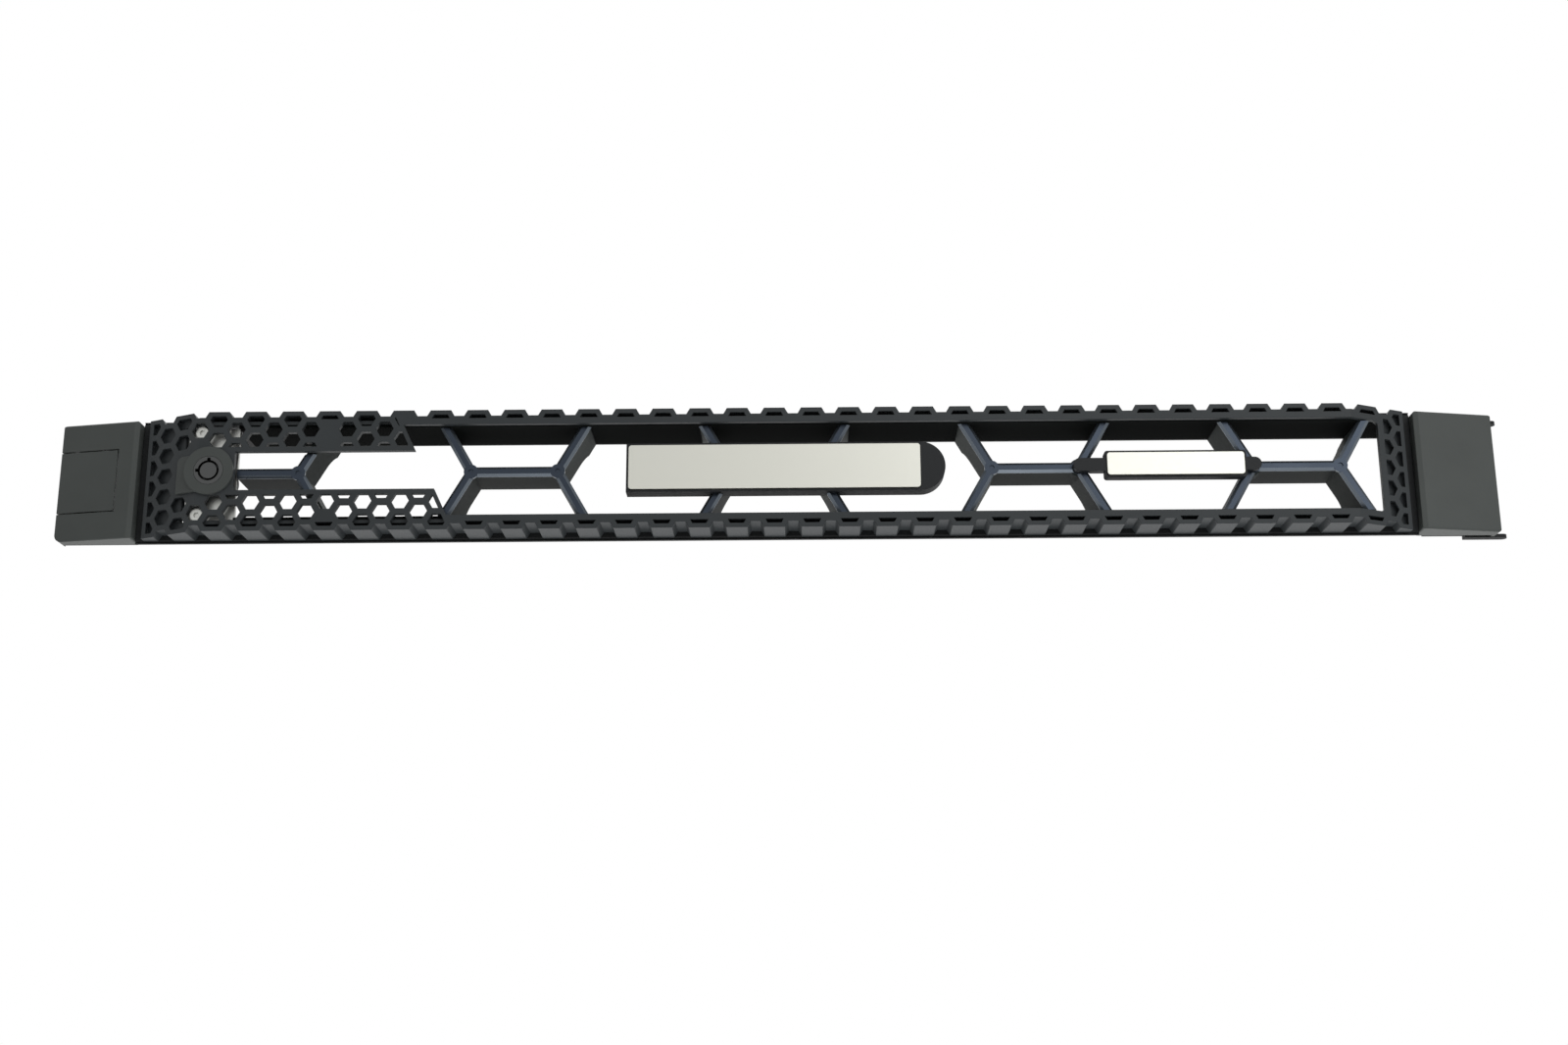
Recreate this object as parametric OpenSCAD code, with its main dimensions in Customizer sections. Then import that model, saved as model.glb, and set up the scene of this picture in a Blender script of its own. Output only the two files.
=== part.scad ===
// One-unit rack server front bezel: hexagonal mesh fascia on a rear frame, honeycomb
// rib grille, two swept end caps, a press release latch and a tubular key lock.
// Millimetres. X runs along the bezel, the front faces -Y, Z is up.
// Depths are written from the front plane (0) back, and place() moves the finished
// piece so that the frame's rear seat, where it meets the chassis, is at Y = 0.

/* [Overall] */
// Width over the two end caps
body_w = 482; // [460:1:484]
// Depth from the front plane to the rear seat of the frame
seat_d = 26; // [22:0.5:32]
// Height of the end caps
cap_h = 40.7; // [38:0.1:42]
// Height over the frame flange
flange_h = 42.4; // [40:0.1:43.5]

/* [Hexagonal pitch] */
// Bumps each side of the middle one
bumps = 17; // [17:1:18]
// Half width of the mesh past the last bump's middle, in pitches
mesh_over = 0.11; // [0.05:0.01:0.3]
// Hexagonal cell size across its flats
cell_af = 5.15; // [4:0.05:6]
// Number of pitches from the bend in the front face to the last bump
bend_back = 1.5; // [1.5:1:3.5]
// Angle of the swept-back end of the mesh
sweep_a = 25; // [15:1:30]

/* [Fascia] */
// Thickness of the front plate
plate_t = 2; // [1.5:0.1:3]
// Depth of the corrugated top and bottom walls
corr_d = 12.8; // [10:0.1:16]
// Half height over the bumps
bump_z = 20.5; // [19:0.1:21]
// Half height at the valleys between bumps
valley_z = 18.5; // [17.5:0.1:19.5]
// Width of a bump at its foot
bump_base = 9.1; // [8:0.1:10]
// Width of a bump at its top
bump_top = 6.8; // [5:0.1:8]
// Half height of the space inside the fascia and the frame collar
cavity_z = 16.4; // [15.5:0.1:17]
// Half height of the long opening
opening_z = 15.6; // [14:0.1:16]
// Wall at the two ends of the fascia
end_wall = 1.6; // [1.2:0.1:2.5]
// Inner edge of the slot in each bump
slot_z0 = 17.7; // [17:0.05:18]
// Outer edge of the slot in each bump
slot_z1 = 19.05; // [18.2:0.05:19.4]
// Width of the bump slot at its inner edge
slot_w0 = 6; // [4:0.1:6.6]
// Width of the bump slot at its outer edge
slot_w1 = 4.5; // [3:0.1:5]
// Right end of the long opening, in pitches from the middle
opening_p = 16.29; // [15.8:0.01:16.4]
// Corner radius of the long opening at its right end
opening_r = 1.5; // [0.5:0.1:3]
// Left cut of the cells next to the long opening's right end, in pitches
cut_p = 16.47; // [16.4:0.01:16.6]
// Border of the mesh past its last cells
cell_border = 1.45; // [1:0.05:2]
// Snap tongue length behind the corrugated wall
tongue_len = 3.4; // [2.5:0.1:5]
// Snap tongue width
tongue_w = 4.2; // [3:0.1:4.4]
// Snap tongue thickness
tongue_t = 1.3; // [1:0.1:1.6]
// Catch height on the snap tongue
barb_h = 0.5; // [0.3:0.1:0.8]

/* [Mesh zones beside the lock] */
// Half height of the slot between the two mesh zones
zone_gap = 6.6; // [5:0.1:8]
// Right end of the upper zone at its border, in pitches left of the middle
zone_up_p = 9.65; // [9.4:0.01:10]
// Right end of the lower zone at its border, in pitches left of the middle
zone_lo_p = 9.1; // [8.9:0.01:9.4]
// Lean of the zones' right ends, from border to rail, in pitches
zone_lean = 0.345; // [0.2:0.005:0.5]
// Left end of the slot between the zones, in pitches left of the middle
zone_slot_p = 14.5; // [14:0.05:14.55]
// Border of the zones along their slanted ends
zone_edge = 1.35; // [1:0.05:2]
// Half height below which a cell is cut short by the zone border
sliver_z = 8.2; // [7.6:0.1:9]

/* [Rib grille] */
// Width of a rib
rib_w = 3; // [2:0.1:4]
// Depth of the rib fronts behind the front plane
rib_front = 3.9; // [3.4:0.1:5]
// Depth of the rib backs at mid height
rib_back = 19; // [12:0.5:22]
// Depth of the grille rails
rail_back = 22; // [18:0.5:25]
// Half height of the inside face of the rails
rail_z = 15.4; // [14.5:0.1:15.8]
// Radius of the gussets between ribs and rails
gusset_r = 5; // [2:0.5:8]
// Half height of the wide part of the tunnel behind the ribs
tunnel_z = 11.5; // [9:0.5:13]
// Gap between the right end of the rails and the fascia's end wall
rail_gap = 2.5; // [1:0.1:6]
// Radius of the pin hubs at the rib junctions
hub_r = 3; // [2.4:0.1:4]
// Length of the pin hubs
hub_len = 5.6; // [4:0.1:8]
// Radius of the badge carrier pins
pin_r = 1.2; // [0.8:0.1:1.6]
// Length of a badge carrier pin behind the rib fronts
pin_len = 4.1; // [3:0.1:5]
// Overhang of a rib trim past its rib on each side
trim_over = 0.2; // [0:0.05:0.5]
// Thickness of a rib trim
trim_t = 1; // [0.6:0.1:1.5]
// Width of the sloped sides of a rib trim
trim_c = 0.9; // [0.4:0.1:1.4]
// Height of the upright sides of a rib trim
trim_side = 0.25; // [0.1:0.05:0.5]
// Radius of the eyelets where the trims meet
eye_r = 2.4; // [2:0.1:3]
// Radius of the dimple in an eyelet that holds no pin
dimple_r = 0.9; // [0.5:0.1:1.2]
// Half height reached by the trims
trim_z = 15.3; // [14:0.1:15.5]
// Radius of the trim locating pegs
peg_r = 0.7; // [0.5:0.1:0.9]
// Length of the trim locating pegs
peg_len = 2.5; // [1.5:0.1:4]
// Distance of a trim peg from its rib junction, along the link
peg_in = 5; // [3.5:0.5:8]

/* [Frame] */
// Thickness of the frame flange
flange_t = 1.5; // [1.2:0.1:2.5]
// Half height of the collar
collar_z = 17.8; // [17:0.1:18.4]
// Chamfer on the front edge of the flange
flange_c = 0.5; // [0.2:0.1:0.8]
// Depth of the end plates behind the front plane
end_plate_d = 17.9; // [16:0.1:20]
// Thickness of the end plates
end_plate_t = 2; // [1.5:0.1:3]
// Half height of the end plates
end_plate_z = 19.6; // [18:0.1:20]
// Gap between the outer edge of an end plate and the cap's outer face
end_inset = 2.1; // [1.9:0.1:4]
// Half height of the windows in the left end plate
window_z = 11.4; // [11:0.1:13]
// Distance of the first window from the cap's inner face
window_in = 2.85; // [2:0.05:4]
// Distance of the spring bar's inner edge from the cap's outer face
bar_in = 11.5; // [10:0.1:13]
// Distance of the spring bar's outer edge from the cap's outer face
bar_out = 4.2; // [3:0.1:5]
// Radius of the posts behind the lock bracket
post_r = 2.2; // [1.8:0.1:2.6]
// Depth of the back of those posts
post_back = 16.4; // [14:0.1:18]

/* [End caps] */
// Width of an end cap
cap_w = 27.35; // [24:0.05:30]
// Groove between the mesh and an end cap
groove_w = 3.2; // [2:0.05:5]
// Depth of the cap's front face at its inner edge
cap_d0 = 8.05; // [6:0.05:10]
// Depth of the cap's front face at its outer edge
cap_d1 = 13.3; // [10:0.1:16]
// Wall of the caps
cap_wall = 1.8; // [1.4:0.1:2.6]
// Depth of the cap's outer side wall
cap_side_d = 19.4; // [18:0.1:22]
// Corner radius of the left cap at its lower outer corner
cap_r_low = 2.4; // [0.5:0.1:4]
// Corner radius of the other outer cap corners
cap_r = 0.8; // [0.4:0.1:2]
// Width of the slope along a cap's inner edge
slope_w = 1.8; // [0.5:0.1:4]
// Depth of that slope
slope_d = 0.8; // [0.2:0.1:2]
// Chamfer along a cap's upper and lower front edges
cap_c = 0.4; // [0.2:0.05:1]
// Height of the screw bosses above the cap's middle
boss_z = 15.2; // [14:0.1:16]
// Distance of the screw bosses from the cap's inner face
boss_x = 14.5; // [10:0.5:18]
// Radius of the screw bosses
boss_r = 2.7; // [2.2:0.1:3.2]

/* [Release button] */
// Half height of the button
button_z = 10.9; // [9:0.1:12]
// Width of the button and its gap
button_w = 20.6; // [18:0.1:23]
// Gap around the button
button_gap = 0.4; // [0.2:0.05:0.8]
// Skin of the button
button_t = 1.8; // [1.4:0.1:2.4]
// Distance of the pivot pin from the cap's outer face
pivot_in = 17.8; // [15:0.1:19]
// Depth of the pivot pin
pivot_d = 15; // [14:0.1:17]
// Radius of the pivot pin
pivot_r = 1.2; // [0.8:0.1:1.6]
// Radius of the barrel round the pivot pin
pivot_barrel_r = 2.7; // [2.2:0.1:3]
// Width of the lugs that hold the pivot pin
lug_w = 5.4; // [4:0.1:6]
// Half length of the pivot pin
pivot_half = 14.5; // [13:0.1:16]
// Width of the latch arm
arm_w = 2.6; // [2:0.1:4]
// Half height of the latch arm
arm_z = 5; // [3:0.5:9]
// Depth of the tip of the latch hook
hook_d = 31.5; // [29:0.5:36]
// Reach of the latch hook past its arm
hook_reach = 3.4; // [2:0.1:5]
// Length of the latch hook along the depth
hook_len = 3.2; // [2:0.1:5]
// Flat behind the latch hook's ramp
hook_flat = 0.8; // [0.4:0.1:1.5]
// Thickness of the return spring leaf
leaf_t = 0.35; // [0.2:0.05:0.6]
// Half height of the return spring leaf
leaf_z = 3.5; // [2:0.5:8]
// Length of the return spring's foot
leaf_len = 6.8; // [5:0.1:8]

/* [Lock] */
// Distance of the lock axis from the bend in the front face, in pitches
lock_in = 0.3333; // [0.2:0.0001:0.5]
// Radius of the lock escutcheon
esc_r = 8.2; // [7:0.1:9]
// How far the escutcheon stands in front of the front plane
esc_t = 1; // [0.6:0.1:2]
// Radius of the hole in the escutcheon
esc_bore = 4.9; // [4.4:0.1:6]
// Reach of the escutcheon's side lobe from the lock axis
lobe_len = 11.45; // [9:0.05:13]
// Lower edge of the side lobe
esc_z0 = -7.2; // [-8:0.1:-5]
// Upper edge of the side lobe
esc_z1 = 5.4; // [4:0.1:8]
// Radius of the side lobe's upper corner
lobe_r1 = 2.2; // [1:0.1:3]
// Radius of the side lobe's lower corner
lobe_r0 = 0.6; // [0.3:0.1:2]
// Radius of the lock barrel
barrel_r = 5.4; // [5:0.1:6]
// Depth of the back of the lock barrel
barrel_back = 16.5; // [14:0.5:18]
// Inner radius of the ring keyway
key_r0 = 2.75; // [2.4:0.05:3.2]
// Outer radius of the ring keyway
key_r1 = 3.5; // [3.2:0.05:4]
// Depth of the ring keyway
key_d = 4; // [2:0.5:6]
// Width of the two key notches
notch_w = 1.1; // [0.8:0.1:1.6]
// Reach of the key notches past the ring
notch_len = 0.8; // [0.6:0.1:0.9]
// Radius of the plug body
plug_r = 4.1; // [3.8:0.05:4.3]
// Half width of the square on the plug's tail
tail_h = 2.2; // [1.6:0.1:2.6]
// Thickness of the cam
cam_t = 1.8; // [1.2:0.1:2.5]
// Length of the cam from the lock axis to its tip
cam_len = 13.5; // [11:0.5:15]
// Width of the cam
cam_w = 8; // [6:0.5:9]
// Corner radius of the cam's tip
cam_r = 1.5; // [0.5:0.1:2]
// Size of the lock nut across its flats
nut_af = 14; // [13:0.5:15]
// Thickness of the lock nut
nut_t = 2.4; // [1.5:0.1:3.5]
// Depth of the front of the lock bracket
bracket_d = 4.4; // [4.2:0.1:6]
// Thickness of the lock bracket
bracket_t = 1.5; // [1:0.1:2.5]
// Half height of the lock bracket
bracket_z = 15.9; // [15:0.1:16.2]
// Distance of the lock bracket's bend from the lock axis
bracket_bend = 8.5; // [8.2:0.1:10]
// Reach of the lock bracket's bent wing from the lock axis
wing_len = 19; // [14:0.1:19.2]
// Lower edge of the wing
wing_z0 = -12.6; // [-14:0.1:-8]
// Upper edge of the wing
wing_z1 = 8.6; // [4:0.1:12]

/* [Badges] */
// Length of the large blank badge plate
badge_w = 96; // [80:1:120]
// Height of the large blank badge plate
badge_h = 15; // [10:0.5:18]
// Thickness of the badge plates
badge_t = 1.4; // [0.8:0.1:2]
// Depth of the large badge carrier
badge_carrier_d = 6; // [4:0.5:8]
// Rim of the carrier round a badge plate
badge_rim = 0.8; // [0.5:0.1:2]
// Sink of a badge plate into its carrier
badge_sink = 0.6; // [0.3:0.1:1]
// Middle of the small badge from the middle of the bezel, in pitches
small_p = 10.715; // [10.3:0.005:11]
// Length of the small blank badge plate
small_w = 45; // [35:1:50]
// Height of the small blank badge plate
small_h = 7.6; // [5:0.1:10]
// Depth of the small badge carrier
small_carrier_d = 3.4; // [2.5:0.1:5]
// Half height of the bar that carries the small badge
small_bar_z = 2.2; // [1.5:0.1:3]
// Corner radius of the badge plates
badge_r = 1; // [0.5:0.1:3]

/* [Hinge bracket] */
// Thickness of the hinge tabs
tab_t = 1.2; // [0.8:0.1:2]
// Half height of the outer faces of the hinge tabs
tab_z = 20.5; // [20:0.1:21.2]
// Radius of the round end of a hinge tab
tab_r = 1.6; // [1.2:0.1:3]
// Reach of a hinge tab past the cap's outer face
tab_out = 4.3; // [3:0.1:6]
// Distance of the root of a hinge tab from the cap's outer face
tab_in = 10; // [6:0.5:14]
// Thickness of the hinge bracket's plate
hinge_t = 1.8; // [1.2:0.1:2.5]
// Distance of the hinge bracket from the cap's inner face
hinge_in = 3.35; // [2:0.05:6]
// Distance of the hinge bracket from the cap's outer face
hinge_out = 0.5; // [0.3:0.1:1]
// Rim beside the window in the hinge bracket
hinge_rim = 4.7; // [3:0.1:6]
// Half height of the window in the hinge bracket
hinge_win = 8; // [4:0.5:10]

/* [Fasteners] */
// Radius of a screw shank
screw_r = 1.2; // [0.8:0.1:1.5]
// Radius of a screw head
screw_head_r = 2.1; // [1.8:0.1:2.6]
// Height of a screw head
screw_head_t = 1.5; // [1:0.1:2]
// Length of the cap screws under the head
screw_len = 6.4; // [5:0.1:7]
// Size of the screw drive across its flats
drive_af = 1.6; // [1.2:0.1:2]

/* [Fits] */
// Gap between pieces that are clipped or screwed together
fit = 0.1; // [0.05:0.01:0.2]
// Running gap round the pivot pin and the plug
run = 0.05; // [0.02:0.01:0.1]
// Play allowed for the snap tongues in their slots
snap = 0.15; // [0.1:0.01:0.3]

/* [Hidden] */
$fn = 40;
eps = 0.01;
through = 2 * seat_d;
cap_x1 = body_w / 2;
cap_x0 = cap_x1 - cap_w;
x_end = cap_x0 - groove_w;
pitch = x_end / (bumps + mesh_over);
row = pitch / sqrt(3);
bend = (bumps - bend_back) * pitch;
sweep_k = tan(sweep_a);
plate_ty = plate_t / cos(sweep_a);
cluster = 7 * pitch;
junction = 7 * pitch / 6;
opening_x = opening_p * pitch;
zone_slot_x = -zone_slot_p * pitch;
rail_front = plate_t + fit;
rail_x0 = zone_slot_x + 2 * fit;
rail_x1 = x_end - end_wall - rail_gap;
trim_w = rib_w + 2 * trim_over;
cap_k = (cap_d1 - cap_d0) / cap_w;
cap_ty = cap_wall * sqrt(1 + cap_k * cap_k);
cap_z = cap_h / 2;
cap_back = end_plate_d - fit;
flange_z = flange_h / 2;
collar_x = x_end - 4 * fit;
boss_cx = cap_x0 + boss_x;
button_x = cap_x1 - button_w;
pivot_x = cap_x1 - pivot_in;
lock_x = bend - lock_in * pitch;
bracket_screw_z = 2 * row;
small_x = small_p * pitch;
cam_d = barrel_back + run + cam_t / 5;
plug_tail_d = cam_d + cam_t - fit;

// ---- shared helpers -------------------------------------------------------

// Place a finished piece so that the rear seat is at Y = 0.
module place() translate([0, -seat_d, 0]) children();

// Depth of the front skin at X.
function fd(x) = abs(x) <= bend ? 0 : (abs(x) - bend) * sweep_k;

// Extrude an X-Z outline back from depth d0 to depth d1.
module slab(d0, d1) translate([0, d1, 0]) rotate([90, 0, 0]) linear_extrude(d1 - d0) children();

// Cylinder along the depth, from d0 to d1.
module rod(r, d0, d1) translate([0, d1, 0]) rotate([90, 0, 0]) cylinder(r = r, h = d1 - d0);

// Extrude an X-depth outline from height z0 to z1.
module tier(z0, z1) translate([0, 0, z0]) linear_extrude(z1 - z0) children();

// Rectangle with rounded corners.
module round_rect(w, h, r) {
    square([w - 2 * r, h], center = true);
    square([w, h - 2 * r], center = true);
    for (i = [-1, 1], j = [-1, 1])
        translate([i * (w / 2 - r), j * (h / 2 - r)]) circle(r = r);
}

// One hexagonal cell, flat top and bottom.
module cell(x, z) translate([x, z]) circle(r = cell_af / sqrt(3), $fn = 6);

// Castellated outline of the fascia.
function bump_pts(k) = [
    [k * pitch - bump_base / 2, valley_z],
    [k * pitch - bump_top / 2, bump_z],
    [k * pitch + bump_top / 2, bump_z],
    [k * pitch + bump_base / 2, valley_z]];
module fascia_outline() {
    top = [for (k = [-bumps:bumps], q = bump_pts(k)) q];
    low = [for (i = [len(top) - 1:-1:0]) [top[i][0], -top[i][1]]];
    intersection() {
        polygon(concat(top, low));
        square([2 * x_end, 3 * bump_z], center = true);
    }
}

// Slot in bump k, on the side given by j.
module bump_slot(k, j) translate([k * pitch, 0])
    polygon([[-slot_w0 / 2, j * slot_z0], [-slot_w1 / 2, j * slot_z1],
        [slot_w1 / 2, j * slot_z1], [slot_w0 / 2, j * slot_z0]]);

// Space in front of the folded skin, moved back by d along it.
module before_skin(d) {
    y1 = fd(body_w) + d / cos(sweep_a);
    tier(-flange_h, flange_h) polygon([[-body_w, -through], [-body_w, y1], [-bend, d], [bend, d],
        [body_w, y1], [body_w, -through]]);
}

// Socket-head style fastener pointing back from depth d (dir = 1) or forward (dir = -1).
module screw(x, z, d, len, dir = 1) {
    translate([x, d, z]) mirror([0, dir < 0 ? 1 : 0, 0]) difference() {
        union() {
            rod(screw_head_r, -screw_head_t, 0);
            rod(screw_r, -eps, len);
        }
        rod(drive_af / sqrt(3), -2 * screw_head_t, -screw_head_t / 2, $fn = 6);
    }
}

// Corner cutter for an X-Z outline: leaves a quarter round at (x, z), open towards (sx, sz).
module corner_cut(x, z, r, sx, sz) {
    difference() {
        translate([x + (sx > 0 ? -r : -eps), z + (sz > 0 ? -r : -eps)]) square(r + eps);
        translate([x - sx * r, z - sz * r]) circle(r = r);
    }
}

// The left end is drawn on the +X side and mirrored.
module left_side() mirror([1, 0, 0]) children();

// ---- fascia -----------------------------------------------------------------

// Right end of the upper and of the lower zone at half height z.
function lean(z) = zone_lean * pitch * (z - zone_gap) / (opening_z - zone_gap);
function zone_up(z) = -zone_up_p * pitch - lean(z);
function zone_lo(z) = -zone_lo_p * pitch + lean(z);

// The long opening with the slot that runs on to the lock.
module opening_outline() {
    difference() {
        polygon([[zone_slot_x, zone_gap], [zone_up(zone_gap), zone_gap], [zone_up(opening_z), opening_z],
            [opening_x, opening_z], [opening_x, -opening_z], [zone_lo(opening_z), -opening_z],
            [zone_lo(zone_gap), -zone_gap], [zone_slot_x, -zone_gap]]);
        corner_cut(opening_x, opening_z, opening_r, 1, 1);
        corner_cut(opening_x, -opening_z, opening_r, 1, -1);
    }
}

// Cells of the two mesh zones left of the opening; j picks the upper or the lower one.
module zone_cells(j) {
    inset = zone_edge / sin(atan((opening_z - zone_gap) / (zone_lean * pitch)));
    function edge(z) = (j > 0 ? zone_up(z) : zone_lo(z)) - inset;
    x1 = cell_border - x_end;
    intersection() {
        union() {
            for (k = [-bumps:-9]) {
                if (k != -12) cell(k * pitch, j * 2.5 * row);
                if (k != -12 || j < 0) cell(k * pitch, j * 1.5 * row);
                if (k != -16) cell((k + 0.5) * pitch, j * row);
                cell((k + 0.5) * pitch, j * 2 * row);
            }
        }
        polygon([[x1, j * sliver_z], [edge(sliver_z), j * sliver_z], [edge(slot_z1), j * slot_z1],
            [x1, j * slot_z1]]);
    }
}

// Cells of the two swept ends.
module end_cells() {
    intersection() {
        union() {
            for (j = [-1, 1]) {
                cell((0.5 - bumps) * pitch, j * row);
                cell(-bumps * pitch, j * 0.5 * row);
                for (z = [0.5, 1.5, 2.5]) cell(bumps * pitch, j * z * row);
            }
            cell((0.5 - bumps) * pitch, 0);
        }
        square([2 * (x_end - cell_border), 2 * slot_z1], center = true);
    }
    intersection() {
        for (i = [-2:2]) cell((bumps - 0.5) * pitch, i * row);
        translate([cut_p * pitch, -bump_z]) square([pitch, 2 * bump_z]);
    }
}

// Thin slots in the fronts of the bumps that have no full cell.
module thin_slots() {
    for (k = [-9:bumps - 1]) bump_slot(k, 1);
    for (k = [-8:bumps - 1]) bump_slot(k, -1);
    for (j = [-1, 1]) bump_slot(-12, j);
}

// Snap tongue behind bump k.
module tongue(k, j) {
    z1 = bump_z - 2 * fit;
    z0 = z1 - tongue_t;
    y0 = corr_d - tongue_t / 2;
    y1 = corr_d + flange_t + snap;
    translate([k * pitch - tongue_w / 2, 0, 0]) mirror([0, 0, j < 0 ? 1 : 0]) rotate([90, 0, 90])
        linear_extrude(tongue_w)
            polygon([[y0, z0], [corr_d + tongue_len, z0], [corr_d + tongue_len, z1 - barb_h],
                [y1 + barb_h, z1 + barb_h], [y1, z1 + barb_h], [y1, z1], [y0, z1]]);
}
TONGUES = [-14, -8, -3, 3, 8, 14];

module mesh_fascia() color("#3e4145") {
    xi = x_end - end_wall;
    difference() {
        slab(0, corr_d) fascia_outline();
        before_skin(0);
        tier(-cavity_z, cavity_z)
            polygon([[-xi, fd(xi) + plate_ty], [-bend, plate_t], [bend, plate_t], [xi, fd(xi) + plate_ty],
                [xi, through], [-xi, through]]);
        slab(-through, through) opening_outline();
        slab(-through, through) thin_slots();
        intersection() {
            slab(-plate_t, corr_d) union() {
                zone_cells(1);
                zone_cells(-1);
                end_cells();
            }
            before_skin(plate_t + run);
        }
        for (j = [-1, 1]) slab(plate_t, through) for (k = [2 - bumps:-9]) bump_slot(k, j);
        translate([-lock_x, 0, 0]) rod(barrel_r + 3 * fit, -through, corr_d);
    }
    for (k = TONGUES, j = [-1, 1]) tongue(k, j);
}

// ---- frame --------------------------------------------------------------------

module rear_frame() color("#34373a") {
    back = corr_d + flange_t;
    slot_w = tongue_w + 2 * snap;
    slot_t = tongue_t + 2 * snap;
    difference() {
        union() {
            slab(corr_d, back) square([2 * (cap_x0 - fit), 2 * flange_z], center = true);
            slab(corr_d, seat_d) square([2 * collar_x, 2 * collar_z], center = true);
            for (i = [-1, 1])
                slab(end_plate_d, end_plate_d + end_plate_t)
                    translate([i > 0 ? 0 : end_inset - cap_x1, -end_plate_z])
                        square([cap_x1 - end_inset, 2 * end_plate_z]);
        }
        slab(-through, through) square([2 * (collar_x - end_wall), 2 * cavity_z], center = true);
        for (j = [-1, 1], a = [45, -135]) translate([-body_w / 2, corr_d, j * flange_z]) rotate([a, 0, 0])
            cube([body_w, flange_c * sqrt(2), flange_c * sqrt(2)]);
        for (k = TONGUES, j = [-1, 1])
            translate([k * pitch - slot_w / 2, 0, j * (bump_z - 2 * fit - tongue_t / 2) - slot_t / 2])
                cube([slot_w, back + fit, slot_t]);
        for (i = [-1, 1], j = [-1, 1])
            translate([i * boss_cx, 0, j * boss_z]) rod(screw_r + 2 * fit, 0, through);
        left_side() slab(0, through) for (x = [cap_x0 + window_in, cap_x1 - bar_out])
            translate([x, -window_z]) square([cap_w - window_in - bar_in, 2 * window_z]);
    }
    for (j = [-1, 1]) lock_post(j);
}

// Post that carries one screw of the lock bracket, with its web to the collar.
module lock_post(j) difference() {
    y0 = bracket_d + bracket_t;
    z0 = j > 0 ? bracket_screw_z : -cavity_z - post_r / 4;
    union() {
        translate([-bend, 0, j * bracket_screw_z]) rod(post_r, y0, post_back);
        translate([-bend - post_r, corr_d, z0])
            cube([2 * post_r, post_back - corr_d, cavity_z + post_r / 4 - bracket_screw_z]);
    }
    translate([-bend, 0, j * bracket_screw_z]) rod(screw_r + fit / 2, 0, y0 + screw_len);
}

// ---- rib grille -----------------------------------------------------------------

// One double-Y of ribs, w wide, reaching to half height z; sides picks the junctions drawn.
module double_y(w, z, sides = [-1, 1]) {
    square([2 * junction, w], center = true);
    for (i = sides, j = [-1, 1])
        translate([i * junction, 0]) rotate(i > 0 ? j * 60 : 180 - j * 60)
            translate([-w / 2 / sqrt(3), -w / 2]) square([z / sin(60) + w, w]);
}

// Outline of the ribs of cluster c, grown by g.
module ribs_outline(c, g = 0) {
    intersection() {
        translate([c * cluster, 0]) double_y(rib_w + 2 * g, cavity_z, c == -2 ? [1] : [-1, 1]);
        translate([c == -2 ? rail_x0 : -x_end, -cavity_z + fit])
            square([2 * x_end, 2 * (cavity_z - fit)]);
    }
}

// Rib junctions that take a badge carrier's pin.
HUBS = [-junction, junction, cluster + junction, 2 * cluster - junction];

// Places of a cluster's two trim pegs along its link: the far left link is cut short.
function peg_sides(c) = c == -2 ? [-0.4, 1] : [-1, 1];

// Tunnel behind the ribs, with the gusset rounds where it turns into the rails.
module rib_tunnel() {
    rotate([90, 0, 90]) translate([0, 0, -x_end]) linear_extrude(2 * x_end) {
        translate([rib_back, -tunnel_z + gusset_r]) square([seat_d, 2 * (tunnel_z - gusset_r)]);
        translate([rib_back + gusset_r, -tunnel_z]) square([seat_d, 2 * tunnel_z]);
        for (j = [-1, 1]) translate([rib_back + gusset_r, j * (tunnel_z - gusset_r)]) circle(r = gusset_r);
    }
}

module rib_grille() color("#4a524e") difference() {
    union() {
        difference() {
            slab(rib_front, rail_back) for (c = [-2:2]) ribs_outline(c);
            rib_tunnel();
        }
        for (j = [-1, 1])
            slab(rail_front, rail_back) translate([rail_x0, j > 0 ? rail_z : -cavity_z + fit])
                square([rail_x1 - rail_x0, cavity_z - fit - rail_z]);
        for (x = HUBS) translate([x, 0, 0]) rod(hub_r, rib_front, rib_front + hub_len);
    }
    before_skin(plate_t + fit);
    for (x = HUBS) translate([x, 0, 0]) rod(pin_r + fit / 2, 0, rib_front + pin_len + fit);
    for (c = [-2:2], i = peg_sides(c)) translate([c * cluster + i * (junction - peg_in), 0, 0])
        rod(peg_r + fit, 0, rib_front + peg_len + fit);
}

// Bar of trim from (x, z = 0) along angle a in the X-Z plane, with a flat front and sloped sides.
module trim_bar(x, a, len) translate([x, rib_front, 0]) rotate([0, 90 - a, 0])
    translate([0, 0, -trim_w / 2 / sqrt(3)]) linear_extrude(len)
        polygon([[-trim_w / 2, 0], [-trim_w / 2, -trim_side], [trim_c - trim_w / 2, -trim_t],
            [trim_w / 2 - trim_c, -trim_t], [trim_w / 2, -trim_side], [trim_w / 2, 0]]);

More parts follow.
